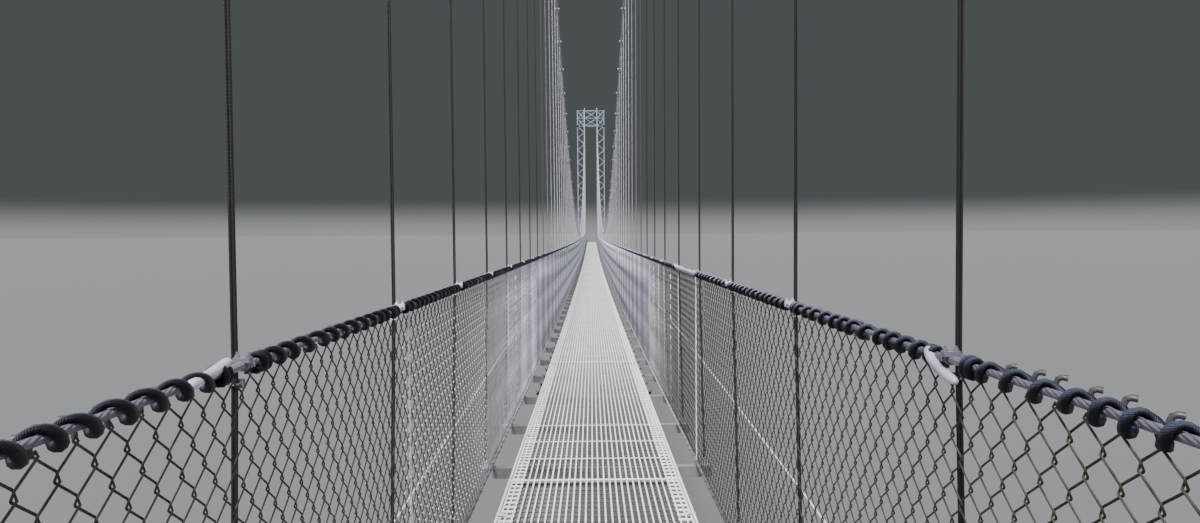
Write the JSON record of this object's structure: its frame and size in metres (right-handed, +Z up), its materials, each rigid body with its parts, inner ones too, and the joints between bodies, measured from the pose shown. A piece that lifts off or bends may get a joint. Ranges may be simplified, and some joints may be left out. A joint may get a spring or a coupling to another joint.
{
  "type": "suspension footbridge, 1:10 scale model",
  "caption": "Narrow suspension footbridge with a grating deck on wire hangers, rope-laced mesh sides and lattice portal towers on concrete.",
  "frame": {"origin": "on the ground under midspan, at the centre of the part's base", "axes": "+Y along the bridge from the near end to the far end, +X to the walker's right, +Z up"},
  "size_m": [0.55, 14.1362, 1.6074],
  "materials": {
    "concrete": "weathered cast concrete",
    "galvanised_steel": "dull hot-dip galvanised",
    "steel_grating": "galvanised bar grating, worn pale",
    "wire_rope": "dark weathered wire rope",
    "black_cord": "satin black plastic cord",
    "mesh_wire": "weathered galvanised wire",
    "guy_wire": "pale galvanised strand"
  },
  "bodies": {
    "root": {"deck_section_1": "steel_grating", "deck_section_2": "steel_grating", "deck_section_3": "steel_grating", "deck_section_4": "steel_grating", "deck_section_5": "steel_grating", "deck_section_6": "steel_grating", "deck_section_7": "steel_grating", "deck_section_8": "steel_grating", "far_abutment": "concrete", "far_left_cable_anchor_block": "concrete", "far_left_cable_saddle": "galvanised_steel", "far_left_guy_anchor_block": "concrete", "far_left_tower_leg": "galvanised_steel", "far_left_tower_pedestal": "concrete", "far_right_cable_anchor_block": "concrete", "far_right_cable_saddle": "galvanised_steel", "far_right_guy_anchor_block": "concrete", "far_right_tower_leg": "galvanised_steel", "far_right_tower_pedestal": "concrete", "far_tower_cross_beam": "galvanised_steel", "left_hand_rope": "black_cord", "left_main_cable_with_hangers": "wire_rope", "left_mesh_panel_1": "mesh_wire", "left_mesh_panel_2": "mesh_wire", "left_mesh_panel_3": "mesh_wire", "left_mesh_panel_4": "mesh_wire", "left_side_rope": "black_cord", "left_wind_guy": "guy_wire", "near_abutment": "concrete", "near_left_cable_anchor_block": "concrete", "near_left_cable_saddle": "galvanised_steel", "near_left_guy_anchor_block": "concrete", "near_left_tower_leg": "galvanised_steel", "near_left_tower_pedestal": "concrete", "near_right_cable_anchor_block": "concrete", "near_right_cable_saddle": "galvanised_steel", "near_right_guy_anchor_block": "concrete", "near_right_tower_leg": "galvanised_steel", "near_right_tower_pedestal": "concrete", "near_tower_cross_beam": "galvanised_steel", "right_hand_rope": "black_cord", "right_main_cable_with_hangers": "wire_rope", "right_mesh_panel_1": "mesh_wire", "right_mesh_panel_2": "mesh_wire", "right_mesh_panel_3": "mesh_wire", "right_mesh_panel_4": "mesh_wire", "right_side_rope": "black_cord", "right_wind_guy": "guy_wire"}
  },
  "joints": []
}
